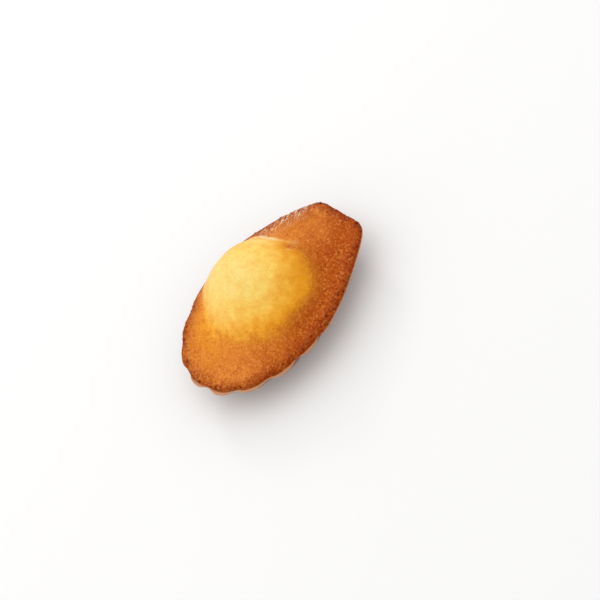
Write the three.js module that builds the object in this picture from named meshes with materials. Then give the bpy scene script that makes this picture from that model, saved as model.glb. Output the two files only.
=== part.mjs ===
// A madeleine cake: a shell-shaped sponge with a tall hump, baked golden, set in a fluted milk-chocolate
// shell. Lengths are in millimetres. +Z is up and +X runs to the blunt end. The cake lies hump up on the flat
// panel of its chocolate, and the origin is on the table, under the middle of its box.
import * as THREE from "three";

const { degToRad, lerp, smoothstep } = THREE.MathUtils;

// The rim's outline, seen from above.
const TIP_REACH = 38.2; // middle to the scalloped tip
const BLUNT_REACH = 38.7; // middle to the blunt end
const HALF_WIDTH = 25; // at the widest part
const TIP_POWER = 2.12; // 2 makes the scalloped end half of an ellipse, and more makes it fuller
const BLUNT_SHARE_LEFT = 0.39; // half width of the blunt end on the +Y side, as a share of the widest
const BLUNT_SHARE_RIGHT = 0.535; // the same on the -Y side
const FLANK_BEND = 0.905; // how fully the flanks bow out on their way to the blunt end
const CORNER_POWER = 9; // higher makes the blunt end's two corners sharper
const REACH_LIMIT = 1.2; // no outline is farther out than this share of the blunt end's reach

// Heights.
const RIM_HEIGHT = 11.6; // table to the chocolate's rim
const PANEL_STEP = 0.9; // how far the foot panel stands off the shell
const HUMP_HEIGHT = 13.9; // the hump above the crust round it

// The foot panel that the cake lies on.
const PANEL_HALF_LENGTH = 24;
const PANEL_HALF_WIDTH = 13.5;
const PANEL_WAVE = 0.45; // depth of the ripples along the panel's edge
const PANEL_RIPPLES = 11;
const PANEL_BEVEL = 0.3;

// The flutes, which fan out from a point near the blunt end.
const FAN_X = 30.6;
const FLUTE_PITCH = degToRad(8.8);
const FLUTE_OFFSET = degToRad(2);
const FLUTE_DEPTH = 0.85; // half of the height from valley to ridge, at the rim
const FLUTE_NOTCH = 0.2; // how much narrower the valleys are than the ridges
const FLUTES_FADE_FROM = degToRad(22);
const FLUTES_FADE_TO = degToRad(52);
const FAN_CALM_FROM = 6; // no flutes within this distance of the point they fan out from
const FAN_CALM_TO = 20; // full flutes from this distance
const FLUTES_START = 0.4; // share of the wall over which the flutes grow from nothing

// The chocolate's wall.
const FOOT_SLOPE = degToRad(22); // the wall's slope where it leaves the panel
const RIM_SLOPE = degToRad(58); // and where it reaches the rim
const LEVEL_POWER = 8; // how late the wall's inside gives up its slope to meet the level rim
const CHOCOLATE = 1.3; // thickness
const LIP = 0.4; // height of the rounded lip over the rim
const GAP = 0.3; // clearance between chocolate and sponge
const INNER_FLUTES = 0.35; // the flutes' depth on the inside, as a share of the outside

// The sponge's top.
const EDGE_INSET = 0.05; // the crust's edge, in from the chocolate's outside
const BARE_LIP = 1.1; // how much farther in it is at the scalloped end, where the chocolate's lip shows
const BARE_LIP_ANGLE = degToRad(203);
const BARE_LIP_POWER = 4; // higher keeps the bare lip closer to that angle
const EDGE_HEIGHT = 0.3; // the upright part of the crust's edge
const EDGE_RISE = 2.1; // the crust above the chocolate's rim
const EDGE_ROUNDING = 1.4; // distance over which the crust's edge comes up
const VALLEY = 0.6; // how far the crust dips between its edge and the hump
const VALLEY_RUN = 7;
const HUMP_X = 0.8;
const HUMP_Y = 4.4;
const HUMP_HALF_LENGTH = 19.6;
const HUMP_HALF_WIDTH = 21.5;
const HUMP_FULLNESS = 2.5; // 2 is a parabola, and more is a fuller dome
const HUMP_FILLET = 2; // softness of the crease on the hump's steep side
const SKIRT_FILLET = 6; // and on the side where the hump runs out gently into the crust
const SKIRT_ANGLE = degToRad(215);
const SKIRT_START = 0.3; // share of the way out from the hump's middle where the sides begin to differ

// How finely the surfaces are cut.
const TURN_STEPS = 108;
const WALL_RINGS = 9;
const TOP_RINGS = 17;
const EDGE_CROWDING = 1.3; // over 1 packs the top's rings closer to its edge
const HALVINGS = 30;

// Half of the outline's width on the blunt side, at a share of the way to the blunt end.
function flankHalfWidth(share, bluntShare) {
  const ease = FLANK_BEND - (1 - bluntShare);
  return HALF_WIDTH * (1 - FLANK_BEND * share ** 2 + ease * share ** 3);
}

// The rim's distance from the middle: half of a full oval, and a tapered block towards the blunt end.
function rimRadius(angle) {
  const along = Math.cos(angle);
  const across = Math.abs(Math.sin(angle));
  if (along <= 0) {
    const sum = (-along / TIP_REACH) ** TIP_POWER + (across / HALF_WIDTH) ** TIP_POWER;
    return sum ** (-1 / TIP_POWER);
  }
  const bluntShare = Math.sin(angle) > 0 ? BLUNT_SHARE_LEFT : BLUNT_SHARE_RIGHT;
  let inside = 0;
  let outside = BLUNT_REACH * REACH_LIMIT;
  for (let i = 0; i < HALVINGS; i++) {
    const radius = (inside + outside) / 2;
    const share = (radius * along) / BLUNT_REACH;
    const side = (radius * across) / flankHalfWidth(share, bluntShare);
    if (share ** CORNER_POWER + side ** CORNER_POWER < 1) inside = radius;
    else outside = radius;
  }
  return inside;
}

// The foot panel's distance from the middle, with the ripples of its poured edge.
function panelRadius(angle) {
  const oval = 1 / Math.hypot(Math.cos(angle) / PANEL_HALF_LENGTH, Math.sin(angle) / PANEL_HALF_WIDTH);
  return oval + PANEL_WAVE * Math.sin(PANEL_RIPPLES * angle + Math.sin(2 * angle));
}

// The flutes' wave at a place: over 0 on a ridge, under 0 in a valley.
function fluteWave(x, y) {
  const fan = Math.atan2(y, FAN_X - x);
  const phase = (2 * Math.PI * (fan - FLUTE_OFFSET)) / FLUTE_PITCH;
  const calm = smoothstep(Math.hypot(y, FAN_X - x), FAN_CALM_FROM, FAN_CALM_TO);
  const strength = calm * (1 - smoothstep(Math.abs(fan), FLUTES_FADE_FROM, FLUTES_FADE_TO));
  return strength * (Math.cos(phase) - FLUTE_NOTCH * Math.cos(2 * phase));
}

// A point at a distance from the upright axis.
function polar(angle, radius, height) {
  return new THREE.Vector3(radius * Math.cos(angle), radius * Math.sin(angle), height);
}

// The shell's wall, from the panel's edge at rise 0 to the level rim at rise 1, set in along its normal.
function wallPoint(angle, rise, inset, fluteDepth) {
  const foot = panelRadius(angle) + PANEL_BEVEL;
  const run = (rimRadius(angle) - foot) / (Math.sin(RIM_SLOPE) - Math.sin(FOOT_SLOPE));
  const climb = (RIM_HEIGHT - PANEL_STEP) / (Math.cos(FOOT_SLOPE) - Math.cos(RIM_SLOPE));
  const slope = lerp(FOOT_SLOPE, RIM_SLOPE, rise);
  const reach = foot + run * (Math.sin(slope) - Math.sin(FOOT_SLOPE));
  const height = PANEL_STEP + climb * (Math.cos(FOOT_SLOPE) - Math.cos(slope));
  const normal = new THREE.Vector2(climb * Math.sin(slope), -run * Math.cos(slope)).normalize();
  const growth = smoothstep(rise, 0, FLUTES_START) * fluteDepth;
  const wave = fluteWave(reach * Math.cos(angle), reach * Math.sin(angle));
  const out = growth * wave - inset;
  return polar(angle, reach + out * normal.x, height + out * normal.y * (1 - rise ** LEVEL_POWER));
}

// The hump, which rises out of the crust with a crease on one side and a gentle skirt on the other.
function humpHeight(x, y) {
  const along = (x - HUMP_X) / HUMP_HALF_LENGTH;
  const across = (y - HUMP_Y) / HUMP_HALF_WIDTH;
  const away = Math.hypot(along, across);
  const dome = HUMP_HEIGHT * (1 - away ** HUMP_FULLNESS);
  const toSkirt = (1 + Math.cos(Math.atan2(across, along) - SKIRT_ANGLE)) / 2;
  const fillet = lerp(HUMP_FILLET, SKIRT_FILLET, toSkirt * smoothstep(away, SKIRT_START, 1));
  return (dome + Math.hypot(dome, fillet)) / 2;
}

// A point over the chocolate's rim, set in from its outside, at a height over the clearance on its lip.
function edgePoint(angle, inset, lift) {
  return wallPoint(angle, 1, inset, FLUTE_DEPTH * INNER_FLUTES).setZ(RIM_HEIGHT + LIP + GAP + lift);
}

// How far the crust's edge is in from the chocolate's outside.
function edgeInset(angle) {
  return EDGE_INSET + BARE_LIP * Math.max(0, Math.cos(angle - BARE_LIP_ANGLE)) ** BARE_LIP_POWER;
}

// The sponge's top, at a share of the way from the middle to its edge.
function topPoint(angle, share) {
  const edge = edgePoint(angle, edgeInset(angle), EDGE_HEIGHT);
  const reach = Math.hypot(edge.x, edge.y);
  const inward = reach * (1 - share);
  const point = polar(angle, reach * share, edge.z);
  const dip = VALLEY * smoothstep(inward, 0, VALLEY_RUN);
  const crust = RIM_HEIGHT + EDGE_RISE - dip + humpHeight(point.x, point.y);
  point.z += (crust - edge.z) * (1 - Math.exp(-inward / EDGE_ROUNDING));
  return point;
}

// A list of values made by a function of a share that goes from 0 to 1.
function spread(count, make) {
  return Array.from({ length: count + 1 }, (_, i) => make(i / count));
}

// A closed solid round the upright axis, from rings listed from the axis below to the axis above. Each ring
// gives its point at an angle. The turns are spaced as on an ellipse, closer together round both ends.
function turnedSolid(rings) {
  const profile = rings.map((_, i) => new THREE.Vector2(i && i < rings.length - 1 ? 1 : 0, i));
  const geometry = new THREE.LatheGeometry(profile, TURN_STEPS);
  const positions = geometry.getAttribute("position");
  for (let v = 0; v < positions.count; v++) {
    const turn = (Math.floor(v / rings.length) / TURN_STEPS) * 2 * Math.PI;
    const angle = Math.atan2(HALF_WIDTH * Math.sin(turn), TIP_REACH * Math.cos(turn));
    const point = rings[v % rings.length](angle);
    positions.setXYZ(v, point.x, point.y, point.z);
  }
  geometry.computeVertexNormals();
  return geometry;
}

// The milk chocolate: the foot panel, the fluted wall, the rounded lip, and the inside that holds the sponge.
function chocolateShell() {
  const innerDepth = FLUTE_DEPTH * INNER_FLUTES;
  const outer = spread(WALL_RINGS, (rise) => (angle) => wallPoint(angle, rise, 0, FLUTE_DEPTH));
  const inner = spread(WALL_RINGS, (rise) => (angle) => wallPoint(angle, 1 - rise, CHOCOLATE, innerDepth));
  const lip = (angle) => {
    const middle = wallPoint(angle, 1, 0, FLUTE_DEPTH).lerp(wallPoint(angle, 1, CHOCOLATE, innerDepth), 0.5);
    return middle.setZ(middle.z + LIP);
  };
  return turnedSolid([
    () => polar(0, 0, 0),
    (angle) => polar(angle, panelRadius(angle) - PANEL_BEVEL, 0),
    (angle) => polar(angle, panelRadius(angle), PANEL_BEVEL),
    ...outer,
    lip,
    ...inner,
    () => polar(0, 0, PANEL_STEP + CHOCOLATE),
  ]);
}

// The sponge: its underside in the chocolate, its edge over the lip, and its top with the crust and the hump.
function sponge() {
  const innerDepth = FLUTE_DEPTH * INNER_FLUTES;
  const inset = CHOCOLATE + GAP;
  const under = spread(WALL_RINGS, (rise) => (angle) => wallPoint(angle, rise, inset, innerDepth));
  const top = spread(TOP_RINGS, (share) => (angle) => topPoint(angle, 1 - share ** EDGE_CROWDING));
  return turnedSolid([
    () => polar(0, 0, PANEL_STEP + inset),
    ...under,
    (angle) => edgePoint(angle, inset, 0),
    (angle) => edgePoint(angle, edgeInset(angle), 0),
    ...top,
  ]);
}

const crumb = new THREE.MeshStandardMaterial({ color: 0xd98a34, roughness: 0.55, metalness: 0 });
const milkChocolate = new THREE.MeshStandardMaterial({ color: 0x93603f, roughness: 0.38, metalness: 0 });

const cake = new THREE.Group();
for (const [name, geometry, material] of [
  ["sponge", sponge(), crumb],
  ["chocolate_shell", chocolateShell(), milkChocolate],
]) {
  const mesh = new THREE.Mesh(geometry, material);
  mesh.name = name;
  cake.add(mesh);
}

const box = new THREE.Box3().setFromObject(cake);
const middle = box.getCenter(new THREE.Vector3());
cake.position.set(-middle.x, -middle.y, -box.min.z);

export default cake;
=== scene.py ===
"""A madeleine cake: a golden sponge with a tall round hump, set in a fluted milk-chocolate shell."""

import logging
import math
from dataclasses import dataclass, field
from enum import Enum
from typing import Any, Sequence

import bpy
import numpy as np
from mathutils import Matrix, Vector


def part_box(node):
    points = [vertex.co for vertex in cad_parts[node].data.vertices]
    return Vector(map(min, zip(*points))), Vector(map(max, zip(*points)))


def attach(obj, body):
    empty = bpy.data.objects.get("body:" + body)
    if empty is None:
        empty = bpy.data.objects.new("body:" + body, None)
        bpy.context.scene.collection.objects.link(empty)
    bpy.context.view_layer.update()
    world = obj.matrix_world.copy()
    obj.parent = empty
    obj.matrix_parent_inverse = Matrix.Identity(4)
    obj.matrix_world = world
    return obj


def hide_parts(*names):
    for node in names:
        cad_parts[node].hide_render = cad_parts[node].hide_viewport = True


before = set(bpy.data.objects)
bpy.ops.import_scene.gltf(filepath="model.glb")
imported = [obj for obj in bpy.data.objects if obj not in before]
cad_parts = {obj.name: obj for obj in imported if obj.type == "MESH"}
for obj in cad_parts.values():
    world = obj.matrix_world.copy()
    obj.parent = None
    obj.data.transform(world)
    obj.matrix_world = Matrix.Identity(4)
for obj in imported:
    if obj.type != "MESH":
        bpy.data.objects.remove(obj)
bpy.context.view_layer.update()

BODY = "root"
MM = 0.001
SENSOR_MM = 36.0
TURN = 2 * math.pi

log = logging.getLogger("madeleine")

Rings = list[np.ndarray]
Colour = tuple[float, float, float]
Band = tuple[float, float]


class Slot(Enum):
    """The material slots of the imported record."""

    SPONGE = "sponge"
    CHOCOLATE = "milk_chocolate"


class Mark(Enum):
    """The named values that the meshes carry for their finishes and their relief."""

    HUMP = "hump"
    EDGE = "edge"
    TOAST = "toast"
    OPEN = "open"
    # The relief's highs and pores, which the finish paints lighter and darker: painted light and painted
    # shade
    RELIEF_SHADE = "tone"
    # The hump's sunny side, which the finish paints paler: painted light
    SUNNY = "sunny"
    WRINKLE = "wrinkle"
    # Painted highlights on the folds
    GLEAM = "gleam"
    INWARD = "inward"


def smooth_step(value: np.ndarray, low: float, high: float) -> np.ndarray:
    """Rises smoothly from 0 at low to 1 at high.

    Args:
        value: The numbers to map.
        low: Where the rise starts.
        high: Where it ends.

    Returns:
        One number from 0 to 1 for each value.
    """
    share = np.clip((value - low) / (high - low), 0.0, 1.0)
    return share * share * (3.0 - 2.0 * share)


def linear(red: int, green: int, blue: int) -> Colour:
    """Turns a screen colour into the renderer's linear light.

    Args:
        red: Red from 0 to 255.
        green: Green from 0 to 255.
        blue: Blue from 0 to 255.

    Returns:
        The three linear values from 0 to 1.
    """

    def one(value: int) -> float:
        """Maps one channel by the screen's transfer curve."""
        share = value / 255
        return share / 12.92 if share <= 0.04045 else ((share + 0.055) / 1.055) ** 2.4

    return one(red), one(green), one(blue)


@dataclass(frozen=True)
class CakeForm:
    """The cake's sizes in millimetres, and the surfaces that they give, in the cake's own axes."""

    # The rim's outline, seen from above
    tip_reach: float = 38.2
    blunt_reach: float = 38.7
    half_width: float = 25.0
    tip_power: float = 2.12
    blunt_share_left: float = 0.39
    blunt_share_right: float = 0.535
    flank_bend: float = 0.905
    corner_power: float = 9.0
    reach_limit: float = 1.2
    halvings: int = 26
    # Heights
    rim_height: float = 11.6
    panel_step: float = 0.9
    hump_height: float = 13.9
    # The foot panel
    panel_half_length: float = 24.0
    panel_half_width: float = 13.5
    panel_wave: float = 0.45
    panel_ripples: int = 11
    panel_bevel: float = 0.3
    # The flutes, which fan out from a point near the blunt end
    fan_x: float = 30.6
    flute_pitch: float = math.radians(8.8)
    flute_offset: float = math.radians(2.0)
    flute_depth: float = 0.85
    flute_notch: float = 0.2
    flutes_fade_from: float = math.radians(22.0)
    flutes_fade_to: float = math.radians(52.0)
    fan_calm_from: float = 6.0
    fan_calm_to: float = 20.0
    flutes_start: float = 0.4
    inner_flutes: float = 0.35
    # The chocolate's wall
    foot_slope: float = math.radians(22.0)
    rim_slope: float = math.radians(58.0)
    level_power: float = 8.0
    chocolate: float = 1.3
    lip: float = 0.4
    gap: float = 0.3
    # The crust and its edge
    edge_inset: float = 0.05
    bare_lip: float = 1.1
    bare_lip_angle: float = math.radians(203.0)
    bare_lip_power: float = 4.0
    edge_height: float = 0.3
    edge_rise: float = 2.1
    edge_rounding: float = 1.4
    valley: float = 0.6
    valley_run: float = 7.0
    # The hump
    hump_x: float = 0.8
    hump_y: float = 4.4
    hump_half_length: float = 19.6
    hump_half_width: float = 21.5
    hump_fullness: float = 2.5
    hump_fillet: float = 2.0
    skirt_fillet: float = 6.0
    skirt_angle: float = math.radians(215.0)
    skirt_start: float = 0.3

    def turn_angle(self, turn: np.ndarray) -> np.ndarray:
        """The angles of evenly spread turns, closer together round both ends of the cake."""
        return np.arctan2(self.half_width * np.sin(turn), self.tip_reach * np.cos(turn))

    def rim_radius(self, angle: np.ndarray) -> np.ndarray:
        """The rim's distance from the middle.

        Args:
            angle: Directions round the cake.

        Returns:
            The distance in each direction.
        """
        along = np.cos(angle)
        across = np.abs(np.sin(angle))
        power = self.tip_power
        back = np.maximum(-along, 0.0) / self.tip_reach
        oval = (back**power + (across / self.half_width) ** power) ** (-1 / power)
        blunt = np.where(np.sin(angle) > 0, self.blunt_share_left, self.blunt_share_right)
        ease = self.flank_bend - (1 - blunt)
        inside = np.zeros_like(angle)
        outside = np.full_like(angle, self.blunt_reach * self.reach_limit)
        for _ in range(self.halvings):
            radius = (inside + outside) / 2
            share = radius * np.maximum(along, 0.0) / self.blunt_reach
            width = self.half_width * (1 - self.flank_bend * share**2 + ease * share**3)
            side = radius * across / width
            within = share**self.corner_power + side**self.corner_power < 1
            inside = np.where(within, radius, inside)
            outside = np.where(within, outside, radius)
        return np.where(along <= 0, oval, inside)

    def panel_radius(self, angle: np.ndarray) -> np.ndarray:
        """The foot panel's distance from the middle, with the ripples of its poured edge.

        Args:
            angle: Directions round the cake.

        Returns:
            The distance in each direction.
        """
        along = np.cos(angle) / self.panel_half_length
        across = np.sin(angle) / self.panel_half_width
        ripple = np.sin(self.panel_ripples * angle + np.sin(2 * angle))
        return 1 / np.hypot(along, across) + self.panel_wave * ripple

    def flute_wave(self, x: np.ndarray, y: np.ndarray) -> np.ndarray:
        """The flutes' wave, which fades out to both sides of the fan and near the point that it starts from.

        Args:
            x: How far along the cake.
            y: How far across it.

        Returns:
            Over 0 on a ridge and under 0 in a valley.
        """
        fan = np.arctan2(y, self.fan_x - x)
        phase = TURN * (fan - self.flute_offset) / self.flute_pitch
        fade = 1 - smooth_step(np.abs(fan), self.flutes_fade_from, self.flutes_fade_to)
        calm = smooth_step(np.hypot(y, self.fan_x - x), self.fan_calm_from, self.fan_calm_to)
        return fade * calm * (np.cos(phase) - self.flute_notch * np.cos(2 * phase))

    def wall(self, angle: np.ndarray, rise: float, inset: Any, depth: float) -> np.ndarray:
        """The chocolate's wall, set in along its normal.

        Args:
            angle: Directions round the cake.
            rise: 0 at the panel's edge, 1 at the level rim.
            inset: How far inside the outer surface.
            depth: The flutes' depth.

        Returns:
            One point for each angle.
        """
        foot = self.panel_radius(angle) + self.panel_bevel
        low, high = self.foot_slope, self.rim_slope
        run = (self.rim_radius(angle) - foot) / (math.sin(high) - math.sin(low))
        climb = (self.rim_height - self.panel_step) / (math.cos(low) - math.cos(high))
        slope = low + (high - low) * rise
        reach = foot + run * (math.sin(slope) - math.sin(low))
        height = self.panel_step + climb * (math.cos(low) - math.cos(slope))
        outward = climb * math.sin(slope)
        downward = -run * math.cos(slope)
        length = np.hypot(outward, downward)
        growth = float(smooth_step(np.array(rise), 0.0, self.flutes_start)) * depth
        wave = self.flute_wave(reach * np.cos(angle), reach * np.sin(angle))
        out = growth * wave - inset
        level = 1 - rise**self.level_power
        return polar(angle, reach + out * outward / length, height + out * downward / length * level)

    def hump(self, x: np.ndarray, y: np.ndarray) -> np.ndarray:
        """The hump, with a crease on one side and a gentle skirt on the other.

        Args:
            x: How far along the cake.
            y: How far across it.

        Returns:
            Its height over the crust.
        """
        along = (x - self.hump_x) / self.hump_half_length
        across = (y - self.hump_y) / self.hump_half_width
        away = np.hypot(along, across)
        dome = self.hump_height * (1 - away**self.hump_fullness)
        to_skirt = (1 + np.cos(np.arctan2(across, along) - self.skirt_angle)) / 2
        to_skirt *= smooth_step(away, self.skirt_start, 1.0)
        fillet = self.hump_fillet + (self.skirt_fillet - self.hump_fillet) * to_skirt
        return (dome + np.hypot(dome, fillet)) / 2

    def edge_point(self, angle: np.ndarray, inset: Any, lift: float) -> np.ndarray:
        """A ring over the chocolate's rim.

        Args:
            angle: Directions round the cake.
            inset: How far in it is from the chocolate's outside.
            lift: Its height over the clearance on the chocolate's lip.

        Returns:
            One point for each angle.
        """
        points = self.wall(angle, 1.0, inset, self.flute_depth * self.inner_flutes)
        points[:, 2] = self.rim_height + self.lip + self.gap + lift
        return points

    def crust_inset(self, angle: np.ndarray) -> np.ndarray:
        """How far the crust's edge is in from the chocolate's outside."""
        facing = np.maximum(np.cos(angle - self.bare_lip_angle), 0.0)
        return self.edge_inset + self.bare_lip * facing**self.bare_lip_power

    def top(self, angle: np.ndarray, share: np.ndarray) -> tuple[np.ndarray, np.ndarray]:
        """The sponge's top.

        Args:
            angle: Directions round the cake.
            share: Shares of the way from the middle to the edge.

        Returns:
            The points, and how far each is in from the edge.
        """
        edge = self.edge_point(angle, self.crust_inset(angle), self.edge_height)
        reach = np.hypot(edge[:, 0], edge[:, 1])
        inward = reach * (1 - share)
        points = polar(angle, reach * share, edge[:, 2])
        dip = self.valley * smooth_step(inward, 0.0, self.valley_run)
        crust = self.rim_height + self.edge_rise - dip + self.hump(points[:, 0], points[:, 1])
        points[:, 2] += (crust - edge[:, 2]) * (1 - np.exp(-inward / self.edge_rounding))
        return points, inward


def polar(angle: np.ndarray, radius: Any, height: Any) -> np.ndarray:
    """Points at a distance from the upright axis."""
    return np.stack([radius * np.cos(angle), radius * np.sin(angle), height + 0 * angle], axis=-1)


@dataclass
class Placing:
    """Puts points given in the cake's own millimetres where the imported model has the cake, in metres."""

    form: CakeForm
    outline_points: int = 2160
    shift: np.ndarray = field(init=False)

    def __post_init__(self) -> None:
        """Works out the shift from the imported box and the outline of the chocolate's rim."""
        turns = np.linspace(0, TURN, self.outline_points, endpoint=False)
        rim = self.form.wall(self.form.turn_angle(turns), 1.0, 0.0, self.form.flute_depth)
        low, high = (np.array(corner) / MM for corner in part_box("chocolate_shell"))
        self.shift = (low + high) / 2 - (rim.min(axis=0) + rim.max(axis=0)) / 2
        self.shift[2] = low[2]

    def __call__(self, points: np.ndarray) -> np.ndarray:
        """The same points in metres, in the row frame."""
        return (points + self.shift) * MM


def plain_mesh(name: str, points: np.ndarray, faces: Sequence[Sequence[int]]) -> bpy.types.Object:
    """Makes a mesh object and links it to the scene.

    Args:
        name: The piece's name.
        points: Places in metres, in the row frame.
        faces: The point numbers of each face.

    Returns:
        The new object, at the origin.
    """
    mesh = bpy.data.meshes.new(name)
    mesh.from_pydata(points.tolist(), [], faces)
    mesh.shade_smooth()
    mesh.update()
    piece = bpy.data.objects.new(name, mesh)
    bpy.context.scene.collection.objects.link(piece)
    return piece


def carry(piece: bpy.types.Object, mark: Mark, values: np.ndarray) -> None:
    """Gives each point of a piece a named value."""
    attribute = piece.data.attributes.new(mark.value, "FLOAT", "POINT")
    attribute.data.foreach_set("value", values.astype(np.float32))


def ring_faces(starts: Sequence[np.ndarray]) -> list[list[int]]:
    """Joins rings of point numbers with four-sided faces.

    Args:
        starts: The point numbers of each ring, all of one length, running the same way round.

    Returns:
        The faces between each ring and the next.
    """
    faces: list[list[int]] = []
    for upper, lower in zip(starts, starts[1:]):
        quads = np.stack([upper, lower, np.roll(lower, -1), np.roll(upper, -1)], axis=-1)
        faces.extend(quads.tolist())
    return faces


def fan_faces(ring: np.ndarray, pole: int) -> list[list[int]]:
    """Closes a ring with triangles to one point."""
    return np.stack([ring, np.full_like(ring, pole), np.roll(ring, -1)], axis=-1).tolist()


class Signal:
    """A number that runs through a node tree, with the usual operators."""

    def __init__(self, graph: "Graph", socket: bpy.types.NodeSocket) -> None:
        """Wraps one output socket of a tree."""
        self.graph = graph
        self.socket = socket

    def _math(self, operation: str, *values: Any) -> "Signal":
        """Adds one Math node."""
        inputs = dict(enumerate(values))
        return self.graph.signal("ShaderNodeMath", {"operation": operation}, inputs)

    def __add__(self, other: Any) -> "Signal":
        """Adds a number or a signal."""
        return self._math("ADD", self, other)

    def __radd__(self, other: Any) -> "Signal":
        """Adds to a number."""
        return self._math("ADD", other, self)

    def __sub__(self, other: Any) -> "Signal":
        """Takes a number or a signal away."""
        return self._math("SUBTRACT", self, other)

    def __rsub__(self, other: Any) -> "Signal":
        """Takes this signal from a number."""
        return self._math("SUBTRACT", other, self)

    def __mul__(self, other: Any) -> "Signal":
        """Multiplies by a number or a signal."""
        return self._math("MULTIPLY", self, other)

    def __rmul__(self, other: Any) -> "Signal":
        """Multiplies a number."""
        return self._math("MULTIPLY", other, self)

    def __truediv__(self, other: Any) -> "Signal":
        """Divides by a number or a signal."""
        return self._math("DIVIDE", self, other)

    def __rtruediv__(self, other: Any) -> "Signal":
        """Divides a number."""
        return self._math("DIVIDE", other, self)

    def __pow__(self, other: Any) -> "Signal":
        """Raises to a power."""
        return self._math("POWER", self, other)

    def smooth(self, low: float, high: float, start: float = 0.0, end: float = 1.0) -> "Signal":
        """Maps low to start and high to end, smoothly, and holds outside.

        Args:
            low: Where the change starts.
            high: Where it ends.
            start: The result up to low.
            end: The result from high on.

        Returns:
            The mapped signal.
        """
        settings = {"interpolation_type": "SMOOTHSTEP"}
        inputs = {"Value": self, "From Min": low, "From Max": high, "To Min": start, "To Max": end}
        return self.graph.signal("ShaderNodeMapRange", settings, inputs)


@dataclass(frozen=True)
class Cloud:
    """A cloudy noise: the size of its lumps, its finer layers and their strength, and its seed.

    The size is in the units of the place where the noise is read, which are metres as a rule.
    """

    size: float | Signal
    detail: float
    strength: float
    seed: float


class Graph:
    """Builds one node tree."""

    def __init__(self, tree: bpy.types.NodeTree) -> None:
        """Starts from an empty tree, with patterns read at the points' own places.

        Args:
            tree: The node tree to fill.
        """
        self.tree = tree
        self.place: Signal | None = None
        tree.nodes.clear()

    def node(self, kind: str, settings: dict[str, Any] | None = None,
             inputs: dict[Any, Any] | None = None) -> bpy.types.Node:
        """Adds a node.

        Args:
            kind: Blender's name for the node's type.
            settings: Attributes, which are set first.
            inputs: Values, sockets or signals, by the input's name or number.

        Returns:
            The new node.
        """
        made = self.tree.nodes.new(kind)
        for name, value in (settings or {}).items():
            setattr(made, name, value)
        for key, value in (inputs or {}).items():
            self.feed(made.inputs[key], value)
        return made

    def signal(self, kind: str, settings: dict[str, Any] | None = None,
               inputs: dict[Any, Any] | None = None, output: Any = 0) -> Signal:
        """Adds a node and returns one of its outputs."""
        return Signal(self, self.node(kind, settings, inputs).outputs[output])

    def combine(self, sides: dict[str, Any]) -> Signal:
        """Joins numbers into a vector, by axis."""
        return self.signal("ShaderNodeCombineXYZ", None, sides)

    def vector_math(self, operation: str, inputs: dict[Any, Any]) -> Signal:
        """Adds one Vector Math node."""
        return self.signal("ShaderNodeVectorMath", {"operation": operation}, inputs)

    def feed(self, socket: bpy.types.NodeSocket, value: Any) -> None:
        """Links or sets one input socket.

        Args:
            socket: The input.
            value: A value, an output socket or a signal.
        """
        if isinstance(value, Signal):
            value = value.socket
        if isinstance(value, bpy.types.NodeSocket):
            self.tree.links.new(value, socket)
        else:
            socket.default_value = value

    def noise(self, cloud: Cloud, place: Signal | None = None) -> Signal:
        """Cloudy noise from 0 to 1.

        Args:
            cloud: The kind of noise.
            place: Where it is read, or None for the piece's own coordinates.

        Returns:
            The noise.
        """
        inputs = {
            "W": cloud.seed,
            "Scale": 1.0 / cloud.size,
            "Detail": cloud.detail,
            "Roughness": cloud.strength,
        }
        place = place or self.place
        if place is not None:
            inputs["Vector"] = place
        return self.signal("ShaderNodeTexNoise", {"noise_dimensions": "4D"}, inputs)


class ShaderGraph(Graph):
    """Builds one material from the piece's own coordinates and named values."""

    def __init__(self, name: str) -> None:
        """Makes an empty material, with patterns read in the piece's own coordinates.

        Args:
            name: The material's name.
        """
        self.material = bpy.data.materials.new(name)
        self.material.use_nodes = True
        super().__init__(self.material.node_tree)
        self.place = self.signal("ShaderNodeTexCoord", output="Object")

    def mark(self, mark: Mark) -> Signal:
        """One of the piece's named values."""
        settings = {"attribute_type": "GEOMETRY", "attribute_name": mark.value}
        return self.signal("ShaderNodeAttribute", settings, output="Fac")

    def blend(self, share: Any, low: Any, high: Any, mode: str = "MIX") -> Signal:
        """Mixes two colours.

        Args:
            share: 0 for the first colour, 1 for the second.
            low: The first colour or signal.
            high: The second colour or signal.
            mode: How they are mixed.

        Returns:
            The mixed colour.
        """
        colours = [(*c, 1.0) if isinstance(c, tuple) else c for c in (low, high)]
        settings = {"data_type": "RGBA", "blend_type": mode}
        return self.signal("ShaderNodeMix", settings, {0: share, 6: colours[0], 7: colours[1]}, 2)

    def finish(self, settings: dict[str, Any]) -> bpy.types.Material:
        """Adds the surface shader.

        Args:
            settings: Values, sockets or signals, by the shader's input names.

        Returns:
            The finished material.
        """
        shader = self.node("ShaderNodeBsdfPrincipled", inputs=settings)
        self.node("ShaderNodeOutputMaterial", inputs={"Surface": shader.outputs[0]})
        return self.material


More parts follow.
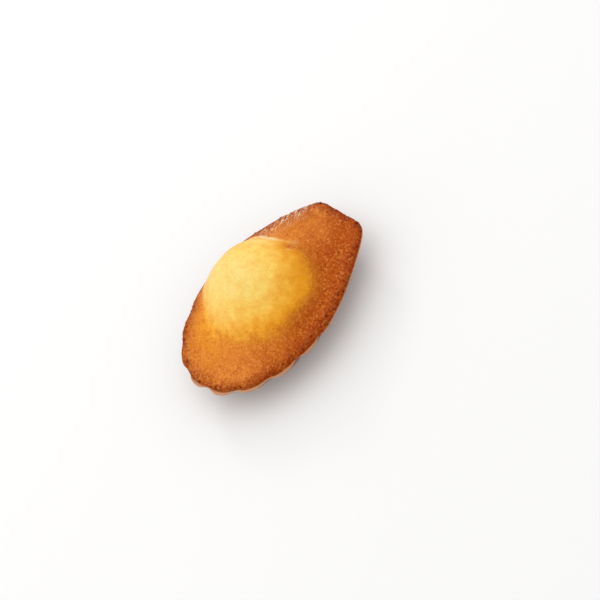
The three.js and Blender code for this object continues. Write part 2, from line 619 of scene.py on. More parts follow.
@dataclass(frozen=True)
class CrumbFinish:
    """The baked crumb: pale on the hump, golden on the crust, toasted to one side, brown at the edge, with
    painted light on the hump's sunny side, painted light and shade in the relief, and painted glints and
    highlights.
    """

    golden: Colour = (0.67, 0.2, 0.029)
    toasted: Colour = (0.39, 0.055, 0.001)
    hump_foot: Colour = (0.83, 0.33, 0.014)
    hump_side: Colour = (0.92, 0.46, 0.052)
    hump_top: Colour = (0.93, 0.61, 0.13)
    hump_pale: Colour = (0.87, 0.66, 0.22)
    brown: Colour = (0.32, 0.042, 0.005)
    speck: Colour = (0.12, 0.014, 0.001)
    # Painted glints on the grain: a painted highlight
    painted_glint: Colour = (1.0, 0.43, 0.07)
    # The colour of the painted highlights on the wrinkles and the folds
    gleam: Colour = (1.0, 0.90, 0.62)
    sheen: Colour = (1.0, 0.75, 0.4)
    channel_gain: Colour = (0.7, 1.35, 1.6)
    grain_light: float = 1.0
    # How strongly the relief's hollows are painted darker and its highs lighter: painted shade and painted
    # light
    relief_light: float = 0.2
    mottle_light: float = 0.75
    hump_mottle: float = 0.3
    # Strengths of the painted glints on the grain and of the painted streaks of light on the wrinkles
    sparkle: float = 0.46
    streaks: float = 0.7
    shine: float = 0.16
    # How strongly the hump's sunny side is painted paler, up the hump and at its foot: painted light
    sunny_tint: float = 0.25
    sunny_foot_tint: float = 0.1
    # How far up the hump each of its tones comes in
    foot_band: Band = (0.02, 0.42)
    side_band: Band = (0.2, 0.66)
    top_band: Band = (0.5, 0.9)
    pale_band: Band = (0.8, 1.2)
    # Patterns
    broad: Cloud = Cloud(9 * MM, 2.0, 0.5, 1.0)
    mottle: Cloud = Cloud(3.2 * MM, 3.0, 0.6, 2.0)
    grain: Cloud = Cloud(0.6 * MM, 1.0, 0.6, 3.0)
    patch: Cloud = Cloud(4.5 * MM, 2.0, 0.6, 10.0)
    glint: Cloud = Cloud(0.9 * MM, 3.0, 0.75, 7.0)
    streak: Cloud = Cloud(1.0, 2.0, 0.6, 8.0)
    streak_size: float = 0.9 * MM
    broken: Cloud = Cloud(0.7 * MM, 2.0, 0.6, 9.0)
    wet: Cloud = Cloud(1.1 * MM, 1.0, 0.5, 6.0)
    bump_depth: float = 0.15 * MM
    # The coat's strength by the hump, and the dry run along the edge
    wrinkle_coat: float = 0.25
    sunny_coat: float = 0.3
    dry_rim: Band = (0.4 * MM, 1.4 * MM)

    def build(self) -> bpy.types.Material:
        """Makes the material.

        Returns:
            The material.
        """
        graph = ShaderGraph("baked_crumb")
        hump = graph.mark(Mark.HUMP)
        sunny = graph.mark(Mark.SUNNY)
        edge = graph.mark(Mark.EDGE)
        toast = graph.mark(Mark.TOAST)
        relief = graph.mark(Mark.RELIEF_SHADE)
        broad = graph.noise(self.broad) - 0.5
        mottle = graph.noise(self.mottle) - 0.5
        grain = graph.noise(self.grain) - 0.5
        # The crust's gold, and the hump's tones over it, paler on the hump's sunny side: painted light
        baked = (toast + broad * 0.9 + mottle * 1.1).smooth(-0.1, 1.1)
        crumb = graph.blend(baked, self.golden, self.toasted)
        # The sunny side raises the hump's tones, so that side is painted paler: painted light
        height = hump + sunny.smooth(0.1, 0.9, 0.0, self.sunny_foot_tint) + mottle * 0.16 + broad * 0.16
        pale = height + sunny * self.sunny_tint + mottle * 0.35
        tones = (
            (height, self.foot_band, self.hump_foot),
            (pale, self.side_band, self.hump_side),
            (pale, self.top_band, self.hump_top),
            (pale, self.pale_band, self.hump_pale),
        )
        for rise, band, tone in tones:
            crumb = graph.blend(rise.smooth(*band), crumb, tone)
        # The browned edge and its dark pits, on the flat crust alone
        browned = (edge + grain * 0.8 + mottle * 1.3 + broad * 0.8).smooth(0.06, 1.06, 0.0, 0.78)
        flat = height.smooth(0.05, 0.4, 1.0, 0.0)
        crumb = graph.blend(browned * flat, crumb, self.brown)
        calm = height.smooth(0.05, 0.6, 1.0, 0.3)
        pits = (grain * 1.4 + mottle * 0.9 + edge * 0.95).smooth(0.8, 1.1, 0.0, 0.85)
        crumb = graph.blend(pits * edge.smooth(0.0, 0.2) * flat, crumb, self.speck)
        # The grain's and the mottling's own light and dark, with painted shade in the relief's hollows and
        # painted light on its highs, each channel by its own gain, then painted glints on the grain
        fine = (grain * self.grain_light + relief * self.relief_light) * (calm + edge * 1.1)
        light = fine + mottle * height.smooth(0.1, 0.6, self.mottle_light, self.hump_mottle)
        channels = {number: 1.0 + light * gain for number, gain in enumerate(self.channel_gain)}
        shade = graph.signal("ShaderNodeCombineColor", None, channels)
        crumb = graph.blend(1.0, crumb, shade, "MULTIPLY")
        # Painted glints on the grain, in patches, weaker near the edge
        patches = graph.noise(self.patch).smooth(0.35, 0.65, 0.5, 1.0)
        glints = graph.noise(self.glint).smooth(0.46, 0.67) * patches * calm * self.sparkle
        glints = glints * edge.smooth(0.5, 1.0, 1.0, 0.45)
        crumb = graph.blend(glints, crumb, self.painted_glint)
        inputs = {"Strength": 0.6, "Distance": self.bump_depth, "Height": grain * calm}
        bump = graph.node("ShaderNodeBump", None, inputs)
        return graph.finish({
            "Base Color": self._gleams(graph, crumb),
            "Roughness": 0.5,
            "Specular IOR Level": 0.08,
            "Specular Tint": (*self.sheen, 1.0),
            "Subsurface Weight": 0.05,
            "Subsurface Radius": (1.0, 0.45, 0.15),
            "Subsurface Scale": 0.9 * MM,
            "Coat Weight": self._coat(graph, calm),
            "Coat Roughness": 0.14,
            "Normal": bump.outputs[0],
        })

    def _gleams(self, graph: ShaderGraph, crumb: Signal) -> Signal:
        """Lays painted highlights over the crumb: pale streaks of light along the wrinkles beside the hump,
        and the gleams of the folds.

        Args:
            graph: The material's graph.
            crumb: The colour under them.

        Returns:
            The colour with them.
        """
        across = graph.combine({"X": graph.mark(Mark.INWARD) / self.streak_size})
        finer = (1 / self.streak_size,) * 3
        drawn = graph.vector_math("MULTIPLY_ADD", {0: graph.place, 1: finer, 2: across})
        streaks = graph.noise(self.streak, drawn).smooth(0.47, 0.62) * graph.mark(Mark.WRINKLE)
        broken = graph.noise(self.broken)
        crumb = graph.blend(streaks * broken.smooth(0.4, 0.56) * self.streaks, crumb, self.gleam)
        return graph.blend(graph.mark(Mark.GLEAM) * broken.smooth(0.3, 0.52), crumb, self.gleam)

    def _coat(self, graph: ShaderGraph, calm: Signal) -> Signal:
        """The strength of the moist coat, in patches on the crust and more evenly by the hump.

        Args:
            graph: The material's graph.
            calm: How strong the grain is.

        Returns:
            The strength, which is 0 along the very edge.
        """
        wet = graph.noise(self.wet).smooth(0.45, 0.6)
        wet = wet * graph.mark(Mark.EDGE).smooth(0.0, 0.6, 0.06, self.shine)
        lit = graph.mark(Mark.SUNNY).smooth(0.0, 0.8, 0.0, self.sunny_coat)
        glazed = wet * calm + graph.mark(Mark.WRINKLE) * self.wrinkle_coat + lit
        return glazed * graph.mark(Mark.INWARD).smooth(*self.dry_rim)


@dataclass(frozen=True)
class ChocolateFinish:
    """Moulded milk chocolate with a soft satin sheen, paler at its lip, where it thins and where a painted
    highlight stands for the light that the lip catches.
    """

    milk: Colour = linear(116, 70, 46)
    bloom: Colour = linear(134, 86, 59)
    # The lip's colour: the thinning chocolate, with a painted highlight where the lip catches the light
    thin_lit_lip: Colour = (0.55, 0.25, 0.11)
    cloud: Cloud = Cloud(14 * MM, 3.0, 0.55, 1.0)
    fine: Cloud = Cloud(0.9 * MM, 3.0, 0.6, 2.0)
    wave: Cloud = Cloud(3.5 * MM, 2.0, 0.5, 3.0)
    bump_depth: float = 0.08 * MM

    def build(self) -> bpy.types.Material:
        """Makes the material.

        Returns:
            The material.
        """
        graph = ShaderGraph("milk_chocolate")
        cloud = graph.noise(self.cloud)
        fine = graph.noise(self.fine)
        waves = graph.noise(self.wave) + fine * 0.15
        body = graph.blend(cloud.smooth(0.35, 0.7), self.milk, self.bloom)
        # The lip is painted paler: the thinning chocolate, and a painted highlight
        lip = (graph.mark(Mark.EDGE) + (fine - 0.5) * 0.3).smooth(0.1, 0.9)
        inputs = {"Strength": 0.25, "Distance": self.bump_depth, "Height": waves}
        bump = graph.node("ShaderNodeBump", None, inputs)
        return graph.finish({
            "Base Color": graph.blend(lip, body, self.thin_lit_lip),
            "Roughness": fine.smooth(0.3, 0.7, 0.34, 0.46),
            "Subsurface Weight": 0.08,
            "Subsurface Radius": (1.0, 0.5, 0.3),
            "Subsurface Scale": 0.8 * MM,
            "Normal": bump.outputs[0],
        })


class GeometryGraph(Graph):
    """Builds one Geometry Nodes tree with named inputs, and applies it to a piece."""

    def __init__(self, name: str, sizes: dict[str, float]) -> None:
        """Makes the tree.

        Args:
            name: The tree's name.
            sizes: The named inputs and their values.
        """
        super().__init__(bpy.data.node_groups.new(name, "GeometryNodeTree"))
        self.sizes = sizes
        face = self.tree.interface
        face.new_socket("Geometry", in_out="INPUT", socket_type="NodeSocketGeometry")
        self.identifiers: dict[str, str] = {}
        for label in sizes:
            socket = face.new_socket(label, in_out="INPUT", socket_type="NodeSocketFloat")
            self.identifiers[label] = socket.identifier
        face.new_socket("Geometry", in_out="OUTPUT", socket_type="NodeSocketGeometry")
        self.entry = self.node("NodeGroupInput")

    def size(self, label: str) -> Signal:
        """One of the named inputs."""
        return Signal(self, self.entry.outputs[label])

    def mark(self, mark: Mark) -> Signal:
        """One of the piece's named values."""
        return self.signal("GeometryNodeInputNamedAttribute", {"data_type": "FLOAT"}, {"Name": mark.value})

    def waves(self, cloud: Cloud, place: Signal | None = None) -> Signal:
        """Cloudy noise from about -0.5 to 0.5."""
        return self.noise(cloud, place) - 0.5

    def apply(self, piece: bpy.types.Object, result: bpy.types.NodeSocket,
              material: bpy.types.Material) -> bpy.types.Object:
        """Ends the tree, runs it on a piece, and keeps the result as a plain mesh.

        Args:
            piece: The object that the tree starts from.
            result: The tree's last geometry.
            material: The finish of the result.

        Returns:
            The same object with its new mesh and no modifier.
        """
        real = self.node("GeometryNodeRealizeInstances", None, {"Geometry": result})
        inputs = {"Geometry": real.outputs[0], "Material": material}
        dressed = self.node("GeometryNodeSetMaterial", None, inputs)
        self.node("NodeGroupOutput", None, {"Geometry": dressed.outputs[0]})
        modifier = piece.modifiers.new(self.tree.name, "NODES")
        modifier.node_group = self.tree
        for label, value in self.sizes.items():
            modifier[self.identifiers[label]] = value
        evaluated = piece.evaluated_get(bpy.context.evaluated_depsgraph_get())
        mesh = bpy.data.meshes.new_from_object(evaluated)
        piece.modifiers.remove(modifier)
        mesh.name = piece.name
        piece.data = mesh
        return piece


def settle(piece: bpy.types.Object, slot: Slot, *nodes: str) -> bpy.types.Object:
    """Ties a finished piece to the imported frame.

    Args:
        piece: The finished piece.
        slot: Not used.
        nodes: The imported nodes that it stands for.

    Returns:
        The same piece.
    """
    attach(piece, BODY)
    if nodes:
        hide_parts(*nodes)
    return piece


@dataclass(frozen=True)
class Fold:
    """A small round rise or hollow in the crust, in millimetres, with its own tint and its gleam, a painted
    highlight.
    """

    x: float
    y: float
    radius: float
    height: float = 0.0
    tint: float = 0.0
    gleam: float = 0.0

    def share(self, points: np.ndarray) -> np.ndarray:
        """How much of it each point gets, from 0 to 1."""
        away = np.hypot(points[:, 0] - self.x, points[:, 1] - self.y)
        return np.exp(-((away / self.radius) ** 2))


@dataclass
class Sponge:
    """The baked cake: a fine-grained crust with a browned edge and a pale hump."""

    form: CakeForm
    placing: Placing
    rings: int = 140
    under_rings: int = 6
    seat: float = 0.68
    edge_lean: float = 0.08
    browned_run: float = 5.6
    wall_browning: float = 0.15
    toast_x: float = 0.28
    toast_y: float = 0.72
    toast_span: Band = (-8.0, 20.0)
    rim_toast: float = 0.3
    rim_run: float = 3.5
    # Which way the hump's sunny side lies and how far up the hump it starts; the finish paints that side
    # paler, as painted light
    sunny_x: float = 0.75
    sunny_y: float = 0.66
    sunny_foot: float = 0.3
    wrinkle_angle: float = math.radians(31.0)
    wrinkle_spread: float = math.radians(17.0)
    wrinkle_run: float = 8.0
    wrinkle_full: float = 3.0
    wrinkle_start: Band = (0.2, 1.0)
    # The darker tint in the hollow by the hump's crease is painted shade; the paler tints and the gleams on
    # the rises and along the hump's upper edge are painted light and painted highlights; the broad tint
    # patches lighten or darken the crust
    folds: tuple[Fold, ...] = (
        Fold(17.6, 3.6, 1.8, height=-0.9, tint=-0.3),
        Fold(19.4, 6.0, 1.1, height=0.5, tint=0.2, gleam=0.12),
        Fold(20.6, 4.4, 1.0, height=0.6, tint=0.12, gleam=0.12),
        Fold(16.5, 1.7, 0.45, height=0.2, gleam=0.5),
        Fold(18.2, 8.2, 1.0, tint=0.2, gleam=0.25),
        Fold(17.4, 9.8, 1.1, tint=0.22, gleam=0.45),
        Fold(17.0, 11.5, 1.1, tint=0.25, gleam=0.55),
        Fold(16.6, 13.3, 1.1, tint=0.22, gleam=0.65),
        Fold(16.3, 15.2, 0.9, tint=0.2, gleam=0.8),
        Fold(15.9, 17.0, 0.9, tint=0.2, gleam=0.9),
        Fold(14.8, 18.6, 0.8, tint=0.2, gleam=0.7),
        Fold(13.5, 19.5, 0.8, tint=0.1, gleam=0.4),
        Fold(-20.5, 12.0, 6.0, tint=0.14),
        Fold(-26.0, 5.0, 8.0, tint=0.13),
        Fold(-16.5, -21.5, 4.5, tint=0.08),
        Fold(-4.0, -23.5, 3.0, tint=0.05),
        Fold(3.5, -19.0, 4.5, tint=-0.14),
        Fold(-3.0, -15.5, 4.0, tint=-0.1),
        Fold(24.0, 6.0, 6.0, tint=0.07),
        Fold(13.8, 12.5, 4.0, tint=0.35),
        Fold(15.5, 8.0, 2.6, tint=0.22),
        Fold(12.5, 17.5, 3.0, tint=0.25),
    )

    def build(self) -> bpy.types.Object:
        """Builds the sponge and dresses it.

        Returns:
            The finished sponge.
        """
        piece = self._shape()
        return settle(self._relief(piece), Slot.SPONGE, "sponge")

    def _shape(self) -> bpy.types.Object:
        """The closed form: a disc-shaped grid for the top, and rings for the edge and the underside.

        Returns:
            The sponge, with its named values.
        """
        form = self.form
        count = self.rings
        column, row = np.meshgrid(np.arange(-count, count + 1), np.arange(-count, count + 1))
        column, row = column.ravel(), row.ravel()
        share = np.maximum(np.abs(column), np.abs(row)) / count
        angle = form.turn_angle(self._square_turn(column, row))
        top, inward = form.top(angle, share)
        for fold in self.folds:
            top[:, 2] += fold.height * fold.share(top)
        width = 2 * count + 1
        corner = (np.arange(width - 1)[:, None] * width + np.arange(width - 1)).ravel()
        quads = np.stack([corner, corner + 1, corner + width + 1, corner + width], axis=-1)
        border = np.flatnonzero(share == 1)
        turn = np.mod(self._square_turn(column[border], row[border]), TURN)
        border = border[np.argsort(turn)]
        rims = self._rims(form.turn_angle(np.sort(turn)))
        pole = np.array([[0.0, 0.0, form.panel_step + form.chocolate + form.gap]])
        points = np.concatenate([top, *rims, pole])
        starts = [border]
        for number in range(len(rims)):
            starts.append(len(top) + number * len(border) + np.arange(len(border)))
        faces = quads.tolist() + ring_faces(starts) + fan_faces(starts[-1], len(points) - 1)
        piece = plain_mesh("sponge_crumb", self.placing(points), faces)
        inward = np.concatenate([inward, np.zeros(len(points) - len(top))])
        self._mark(piece, points, inward, len(top), len(top) + 2 * len(border))
        return piece

    def _rims(self, angle: np.ndarray) -> Rings:
        """The rings of the edge and of the underside.

        Args:
            angle: The directions of the points at the top's border.

        Returns:
            The rings, from the edge down.
        """
        form = self.form
        inset = form.chocolate + form.gap
        depth = form.flute_depth * form.inner_flutes
        rims = [
            form.edge_point(angle, form.crust_inset(angle), 0.0),
            form.edge_point(angle, form.crust_inset(angle) + self.edge_lean, -self.seat),
            form.edge_point(angle, inset, -self.seat),
        ]
        for rise in np.linspace(1.0, 0.0, self.under_rings + 1):
            rims.append(form.wall(angle, float(rise), inset, depth))
        return rims

    def _mark(self, piece: bpy.types.Object, points: np.ndarray, inward: np.ndarray,
              top: int, shown: int) -> None:
        """Gives the points the values that the finish and the relief read.

        Args:
            piece: The sponge.
            points: Its points in the cake's own millimetres.
            inward: How far each is in from the crust's edge.
            top: How many of them make the top.
            shown: How many of them are in the open.
        """
        form = self.form
        x, y = points[:, 0], points[:, 1]
        hump = form.hump(x, y) / form.hump_height
        # Toward the tip and the far side the hump is painted paler, and deeper on the other side: painted
        # light and painted shade
        sunny = (self.sunny_y * (y - form.hump_y) - self.sunny_x * (x - form.hump_x)) / form.hump_half_length
        sunny = np.clip(sunny, -1, 1) * smooth_step(hump, 0.0, self.sunny_foot)
        # The folds' tints move the crumb's tones, and their gleams are painted highlights
        gleam = np.zeros(len(points))
        for fold in self.folds:
            hump += fold.tint * fold.share(points)
            gleam += fold.gleam * fold.share(points)
        hump[top:] = 0.0
        sunny[top:] = 0.0
        toast = smooth_step(self.toast_x * x - self.toast_y * y, *self.toast_span)
        turned = np.arctan2(y, x) - self.wrinkle_angle
        near = np.exp(-((turned / self.wrinkle_spread) ** 4))
        near *= smooth_step(-inward, -self.wrinkle_run, -self.wrinkle_full)
        near *= smooth_step(inward, *self.wrinkle_start)
        open_air = np.ones(len(points))
        open_air[shown:] = 0.0
        carry(piece, Mark.HUMP, hump)
        carry(piece, Mark.SUNNY, sunny)
        carry(piece, Mark.TOAST, toast + self.rim_toast * np.exp(-inward / self.rim_run))
        browned = 1 - np.clip(inward / self.browned_run, 0, 1)
        browned[top:] *= self.wall_browning
        carry(piece, Mark.EDGE, browned)
        carry(piece, Mark.WRINKLE, near)
        carry(piece, Mark.GLEAM, gleam)
        carry(piece, Mark.INWARD, inward * MM)
        carry(piece, Mark.OPEN, open_air)

    @staticmethod
    def _square_turn(column: np.ndarray, row: np.ndarray) -> np.ndarray:
        """The turn of each point of a square grid that is bent into a disc, ring by ring.

        Args:
            column: The points' columns, counted from the middle one.
            row: Their rows, counted in the same way.

        Returns:
            Their turns, which are 0 along the columns' axis.
        """
        wide = np.abs(column) >= np.abs(row)
        with np.errstate(divide="ignore", invalid="ignore"):
            flat = np.where(column != 0, math.pi / 4 * row / column, 0.0)
            flat += np.where(column < 0, math.pi, 0.0)
            steep = math.pi / 2 - math.pi / 4 * column / row + np.where(row < 0, math.pi, 0.0)
        return np.where(wide, flat, steep)

    def _relief(self, piece: bpy.types.Object) -> bpy.types.Object:
        """Presses the grain, pores, wrinkles, slow waves and ragged edge into the open surface.

        Args:
            piece: The sponge with its named values.

        Returns:
            The sponge with its relief and its finish.
        """
        graph = GeometryGraph("crumb_relief", {
            "Wrinkle Length": 6 * MM,
            "Wrinkle Width": 0.9 * MM,
            "Wrinkle Depth": 0.9 * MM,
            "Grain Size": 0.85 * MM,
            "Grain Depth": 0.22 * MM,
            "Wave Size": 8 * MM,
            "Wave Depth": 0.6 * MM,
            "Pore Size": 1.1 * MM,
            "Pore Depth": 0.1 * MM,
            "Ragged Size": 2.4 * MM,
            "Ragged Depth": 0.7 * MM,
        })
        hump = graph.mark(Mark.HUMP)
        edge = graph.mark(Mark.EDGE)
        calm = hump.smooth(0.0, 0.5, 1.0, 0.3) + edge.smooth(0.15, 0.9, 0.0, 1.3)
        grain = graph.waves(Cloud(graph.size("Grain Size"), 2.0, 0.65, 1.0))
        waves = graph.waves(Cloud(graph.size("Wave Size"), 1.0, 0.5, 2.0)) * graph.size("Wave Depth")
        pores = graph.waves(Cloud(graph.size("Pore Size"), 0.0, 0.5, 3.0)).smooth(0.12, 0.3)
        across = graph.mark(Mark.INWARD) / graph.size("Wrinkle Width")
        place = graph.node("GeometryNodeInputPosition").outputs[0]
        along = graph.vector_math("SCALE", {0: place, "Scale": 1.0 / graph.size("Wrinkle Length")})
        drawn = graph.vector_math("ADD", {0: along, 1: graph.combine({"X": across})})
        wrinkles = graph.waves(Cloud(1.0, 1.0, 0.5, 4.0), drawn) * graph.mark(Mark.WRINKLE)
        wrinkles = wrinkles * graph.size("Wrinkle Depth")
        fine = (grain * graph.size("Grain Depth") - pores * graph.size("Pore Depth")) * calm
        ragged = graph.waves(Cloud(graph.size("Ragged Size"), 2.0, 0.6, 5.0)) * graph.size("Ragged Depth")
        lift = (fine + waves + wrinkles + ragged * edge.smooth(0.65, 0.97)) * graph.mark(Mark.OPEN)
        normal = graph.node("GeometryNodeInputNormal").outputs[0]
        offset = graph.vector_math("SCALE", {0: normal, "Scale": lift})
        # The relief's highs and pores, stored for the finish: painted light on the highs and painted shade
        # in the pores
        tone = (grain * 2.0 - pores) * calm
        inputs = {"Geometry": graph.entry.outputs["Geometry"], "Name": Mark.RELIEF_SHADE.value, "Value": tone}
        settings = {"data_type": "FLOAT", "domain": "POINT"}
        toned = graph.node("GeometryNodeStoreNamedAttribute", settings, inputs)
        inputs = {"Geometry": toned.outputs[0], "Offset": offset}
        moved = graph.node("GeometryNodeSetPosition", None, inputs)
        return graph.apply(piece, moved.outputs[0], CrumbFinish().build())


@dataclass
class EdgeCrumbs:
    """The loose browned crumbs that cling to the crust's edge."""

    sponge: bpy.types.Object
    per_square_metre: float = 1.1e6
    clump: Cloud = Cloud(3 * MM, 2.0, 0.6, 9.0)
    least: float = 0.1 * MM
    most: float = 0.26 * MM
    spread_seed: int = 5
    size_seed: int = 8
    turn_seed: int = 13

    def build(self) -> bpy.types.Object:
        """Scatters the crumbs over the sponge's edge.

        Returns:
            The crumbs, as one piece.
        """
        piece = bpy.data.objects.new("edge_crumbs", self.sponge.data.copy())
        bpy.context.scene.collection.objects.link(piece)
        graph = GeometryGraph("edge_crumbs", {
            "Density": self.per_square_metre,
            "Least": self.least,
            "Most": self.most,
        })
        edge = graph.mark(Mark.EDGE)
        clumps = (edge + graph.waves(self.clump) * 1.2).smooth(0.45, 1.2)
        density = clumps * edge.smooth(0.45, 0.75) * graph.mark(Mark.OPEN) * graph.size("Density")
        inputs = {"Mesh": graph.entry.outputs["Geometry"], "Density": density, "Seed": self.spread_seed}
        spots = graph.node("GeometryNodeDistributePointsOnFaces", {"distribute_method": "RANDOM"}, inputs)
        lump = graph.node("GeometryNodeMeshIcoSphere", None, {"Radius": 1.0, "Subdivisions": 2})
        inputs = {
            0: graph.combine(dict.fromkeys("XYZ", graph.size("Least"))),
            1: graph.combine(dict.fromkeys("XYZ", graph.size("Most"))),
            "Seed": self.size_seed,
        }
        size = graph.node("FunctionNodeRandomValue", {"data_type": "FLOAT_VECTOR"}, inputs)
        inputs = {0: (0.0, 0.0, 0.0), 1: (TURN, TURN, TURN), "Seed": self.turn_seed}
        turn = graph.node("FunctionNodeRandomValue", {"data_type": "FLOAT_VECTOR"}, inputs)
        inputs = {
            "Points": spots.outputs["Points"],
            "Instance": lump.outputs["Mesh"],
            "Rotation": turn.outputs[0],
            "Scale": size.outputs[0],
        }
        crumbs = graph.node("GeometryNodeInstanceOnPoints", None, inputs)
        graph.apply(piece, crumbs.outputs[0], self.sponge.data.materials[0])
        piece.data.shade_smooth()
        return settle(piece, Slot.SPONGE)


@dataclass
class ChocolateShell:
    """The moulded milk chocolate: its foot panel with a shallow recess, fluted wall, lip and inside."""

    form: CakeForm
    placing: Placing
    material: bpy.types.Material
    turns: int = 720
    wall_rings: int = 40
    inner_rings: int = 8
    lip_rings: int = 6
    bevel_rings: int = 3
    thin_lit_lip_run: float = 1.6
    border: float = 1.3
    border_ramp: float = 0.3
    recess: float = 0.35
    ramp_bend: float = 0.4

    def build(self) -> bpy.types.Object:
        """Builds the shell and dresses it.

        Returns:
            The finished shell.
        """
        form = self.form
        rings = self._rings(form.turn_angle(np.linspace(0, TURN, self.turns, endpoint=False)))
        foot = np.array([[0.0, 0.0, self.recess]])
        floor = np.array([[0.0, 0.0, form.panel_step + form.chocolate]])
        points = np.concatenate([foot, *rings, floor])
        starts = [1 + number * self.turns + np.arange(self.turns) for number in range(len(rings))]
        faces = [face[::-1] for face in ring_faces(starts)]
        faces += fan_faces(starts[0], 0)
        faces += [face[::-1] for face in fan_faces(starts[-1], len(points) - 1)]
        piece = plain_mesh("chocolate_coat", self.placing(points), faces)
        # The lip's mark, which the finish paints paler: the thinning chocolate, and a painted highlight
        carry(piece, Mark.EDGE, smooth_step(points[:, 2], form.rim_height - self.thin_lit_lip_run, form.rim_height))
        piece.data.materials.append(self.material)
        return settle(piece, Slot.CHOCOLATE, "chocolate_shell")

    def _rings(self, angle: np.ndarray) -> Rings:
        """The rings from the recess in the foot, up the outside, over the lip, and down the inside.

        Args:
            angle: Directions round the cake.

        Returns:
            The rings, in that order.
        """
        form = self.form
        depth = form.flute_depth * form.inner_flutes
        panel = form.panel_radius(angle)
        bevel = form.panel_bevel
        inner = panel - bevel - self.border
        rings: Rings = [
            polar(angle, inner - self.border_ramp, self.recess),
            polar(angle, inner - self.border_ramp / 3, self.recess * self.ramp_bend),
            polar(angle, inner + self.border_ramp / 2, 0.0),
            polar(angle, panel - bevel, 0.0),
        ]
        for step in np.linspace(0, math.pi / 2, self.bevel_rings + 1)[1:]:
            rings.append(polar(angle, panel - bevel * (1 - math.sin(step)), bevel * (1 - math.cos(step))))
        for rise in np.linspace(0, 1, self.wall_rings + 1):
            rings.append(form.wall(angle, float(rise), 0.0, form.flute_depth))
        outside = rings[-1]
        inside = form.wall(angle, 1.0, form.chocolate, depth)
        for step in np.linspace(0, math.pi, self.lip_rings + 1)[1:-1]:
            share = (1 - math.cos(step)) / 2
            crest = outside * (1 - share) + inside * share
            crest[:, 2] += form.lip * math.sin(step)
            rings.append(crest)
        for rise in np.linspace(1, 0, self.inner_rings + 1):
            rings.append(form.wall(angle, float(rise), form.chocolate, depth))
        return rings


@dataclass
class FootLattice:
    """The diamond lattice of low rounded ridges on the foot panel."""

    form: CakeForm
    placing: Placing
    material: bpy.types.Material
    spacing: float = 2.6 * MM
    half_width: float = 0.26 * MM
    height: float = 0.35 * MM
    border: float = 1.55
    slant: float = math.radians(38.0)
    shortest: float = MM
    bar_sides: int = 12

    def build(self) -> bpy.types.Object:
        """Lays the ridges in two directions.

        Returns:
            The ridges, as one piece.
        """
        piece = plain_mesh("foot_lattice", np.zeros((1, 3)), [])
        graph = GeometryGraph("foot_lattice", {
            "Spacing": self.spacing,
            "Ridge Half Width": self.half_width,
            "Ridge Height": self.height,
            "Half Length": (self.form.panel_half_length - self.border) * MM,
            "Half Width": (self.form.panel_half_width - self.border) * MM,
        })
        inputs = {"Vertices": self.bar_sides, "Radius": 1.0, "Depth": 2.0}
        bar = graph.node("GeometryNodeMeshCylinder", None, inputs)
        inputs = {"Geometry": bar.outputs["Mesh"], "Rotation": (0.0, math.pi / 2, 0.0)}
        lying = graph.node("GeometryNodeTransform", None, inputs)
        both = graph.node("GeometryNodeJoinGeometry")
        for slant in (self.slant, -self.slant):
            ridges = self._ridges(graph, lying.outputs[0], slant)
            graph.tree.links.new(ridges, both.inputs[0])
        graph.apply(piece, both.outputs[0], self.material)
        piece.data.shade_smooth()
        return settle(piece, Slot.CHOCOLATE)

    def _ridges(self, graph: GeometryGraph, bar: bpy.types.NodeSocket,
                slant: float) -> bpy.types.NodeSocket:
        """Lays one direction's ridges, each as long as the panel's oval is there.

        Args:
            graph: The tree that they are made in.
            bar: A lying bar of half length, half width and half height 1.
            slant: The ridges' direction.

        Returns:
            The ridges.
        """
        along, across = graph.size("Half Length"), graph.size("Half Width")
        side, front = -math.sin(slant), math.cos(slant)
        reach = along * along * side**2 + across * across * front**2
        span = math.hypot(self.form.panel_half_length * side, self.form.panel_half_width * front)
        steps = int(span * MM / self.spacing)
        number = graph.signal("GeometryNodeInputIndex") - float(steps)
        away = number * graph.size("Spacing")
        inputs = {"Count": 2 * steps + 1}
        spots = graph.node("GeometryNodeMeshLine", None, inputs)
        share = away / reach
        origin = self.placing(np.zeros(3))
        place = graph.combine({
            "X": share * along * along * side + float(origin[0]),
            "Y": share * across * across * front + float(origin[1]),
            "Z": graph.size("Ridge Height"),
        })
        inputs = {"Geometry": spots.outputs[0], "Position": place}
        placed = graph.node("GeometryNodeSetPosition", None, inputs)
        left = graph.signal("ShaderNodeMath", {"operation": "MAXIMUM"}, {0: reach - away * away, 1: 0.0})
        length = along * across * left**0.5 / reach
        sides = {"X": length, "Y": graph.size("Ridge Half Width"), "Z": graph.size("Ridge Height")}
        inputs = {0: length, 1: self.shortest}
        lasting = graph.signal("FunctionNodeCompare", {"operation": "GREATER_THAN"}, inputs)
        inputs = {
            "Points": placed.outputs[0],
            "Selection": lasting,
            "Instance": bar,
            "Rotation": (0.0, 0.0, slant),
            "Scale": graph.combine(sides),
        }
        return graph.node("GeometryNodeInstanceOnPoints", None, inputs).outputs[0]


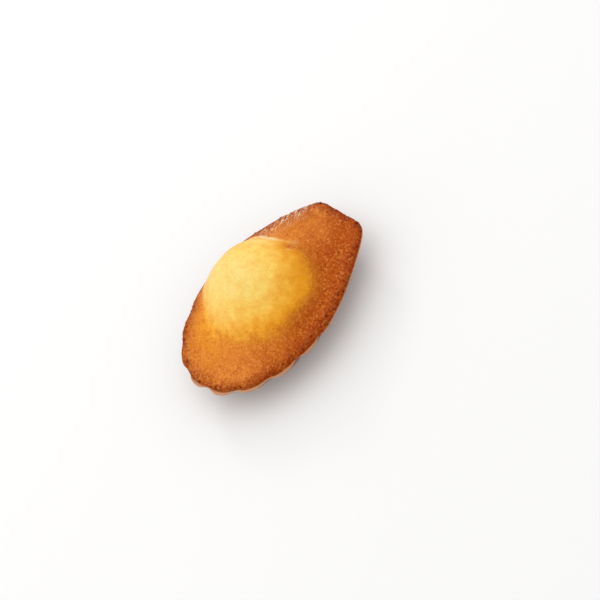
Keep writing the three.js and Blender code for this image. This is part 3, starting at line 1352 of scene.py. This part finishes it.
@dataclass(frozen=True)
class PhotoCamera:
    """The camera that sees the cake as the photo does, in the cake's own millimetres."""

    azimuth: float = math.radians(-18.49)
    elevation: float = math.radians(55.95)
    roll: float = math.radians(-36.19)
    distance: float = 565.6
    slide_right: float = 10.608
    slide_up: float = -1.071
    aim_height: float = 13.0
    lens: float = 100.0
    nearest: float = 0.01
    farthest: float = 10.0

    def axes(self) -> tuple[Vector, Vector, Vector]:
        """The directions that the camera is turned by.

        Returns:
            Its right, its up and its backward direction.
        """
        flat = math.cos(self.elevation)
        back = Vector((
            math.sin(self.azimuth) * flat,
            -math.cos(self.azimuth) * flat,
            math.sin(self.elevation),
        ))
        right = Vector((math.cos(self.azimuth), math.sin(self.azimuth), 0.0))
        up = back.cross(right)
        cos, sin = math.cos(self.roll), math.sin(self.roll)
        return right * cos + up * sin, up * cos - right * sin, back

    def build(self, placing: Placing) -> None:
        """Makes the camera and sets it as the scene's.

        Args:
            placing: Where the cake's own axes lie in the row frame.
        """
        right, up, back = self.axes()
        aim = Vector((0.0, 0.0, self.aim_height)) + right * self.slide_right + up * self.slide_up
        spot = Vector(placing(np.array(aim + back * self.distance)))
        data = bpy.data.cameras.new("photo_camera")
        data.lens = self.lens
        data.sensor_width = SENSOR_MM
        data.clip_start = self.nearest
        data.clip_end = self.farthest
        camera = bpy.data.objects.new("photo_camera", data)
        turned = Matrix((right, up, back)).transposed().to_4x4()
        camera.matrix_world = Matrix.Translation(spot) @ turned
        bpy.context.scene.collection.objects.link(camera)
        bpy.context.scene.camera = camera


@dataclass(frozen=True)
class SoftLight:
    """A square studio light, placed by the direction in the picture that it comes from."""

    name: str
    from_right: float
    from_up: float
    from_camera: float
    distance: float
    side: float
    power: float
    colour: Colour = (1.0, 1.0, 1.0)

    def build(self, camera: PhotoCamera) -> None:
        """Makes the light, aimed at the cake.

        Args:
            camera: The camera whose picture gives the light's direction.
        """
        right, up, back = camera.axes()
        direction = (right * self.from_right + up * self.from_up + back * self.from_camera).normalized()
        data = bpy.data.lights.new(self.name, "AREA")
        data.energy = self.power
        data.size = self.side
        data.color = self.colour
        light = bpy.data.objects.new(self.name, data)
        turned = direction.to_track_quat("Z", "Y").to_matrix().to_4x4()
        light.matrix_world = Matrix.Translation(direction * self.distance) @ turned
        bpy.context.scene.collection.objects.link(light)


@dataclass(frozen=True)
class Studio:
    """A plain pale floor, a white surround and soft lights."""

    floor_half: float = 2.0
    floor_tone: float = 0.92
    surround: float = 0.8
    lights: tuple[SoftLight, ...] = (
        SoftLight("key", -0.55, 0.55, 0.55, 0.8, 1.1, 2.4, (1.0, 0.98, 0.94)),
        SoftLight("rim_glow", -0.54, 0.83, -0.13, 0.8, 0.15, 0.7),
        SoftLight("front_fill", -0.7, -0.7, 0.15, 0.8, 0.4, 0.9),
    )

    def build(self, camera: PhotoCamera) -> None:
        """Makes the floor, the surround and the lights.

        Args:
            camera: The camera that the lights are placed by.
        """
        half = self.floor_half
        corners = np.array([[-half, -half, 0.0], [half, -half, 0.0], [half, half, 0.0], [-half, half, 0.0]])
        floor = plain_mesh("floor", corners, [[0, 1, 2, 3]])
        graph = ShaderGraph("floor_paper")
        tone = (self.floor_tone,) * 3
        floor.data.materials.append(graph.finish({"Base Color": (*tone, 1.0), "Roughness": 0.9}))
        world = bpy.data.worlds.new("surround")
        world.use_nodes = True
        background = world.node_tree.nodes["Background"]
        background.inputs["Strength"].default_value = self.surround
        background.inputs["Color"].default_value = (1.0, 1.0, 1.0, 1.0)
        bpy.context.scene.world = world
        bpy.context.scene.view_settings.view_transform = "Standard"
        for light in self.lights:
            light.build(camera)


def report(piece: bpy.types.Object) -> None:
    """Logs a finished piece."""
    log.info("%s: %d faces", piece.name, len(piece.data.polygons))


def main() -> None:
    """Builds the cake, then the studio round it."""
    logging.basicConfig(level=logging.INFO)
    form = CakeForm()
    placing = Placing(form)
    camera = PhotoCamera()
    camera.build(placing)
    sponge = Sponge(form, placing).build()
    report(sponge)
    chocolate = ChocolateFinish().build()
    makers = (
        EdgeCrumbs(sponge),
        ChocolateShell(form, placing, chocolate),
        FootLattice(form, placing, chocolate),
    )
    for maker in makers:
        report(maker.build())
    Studio().build(camera)


if __name__ == "__main__":
    main()
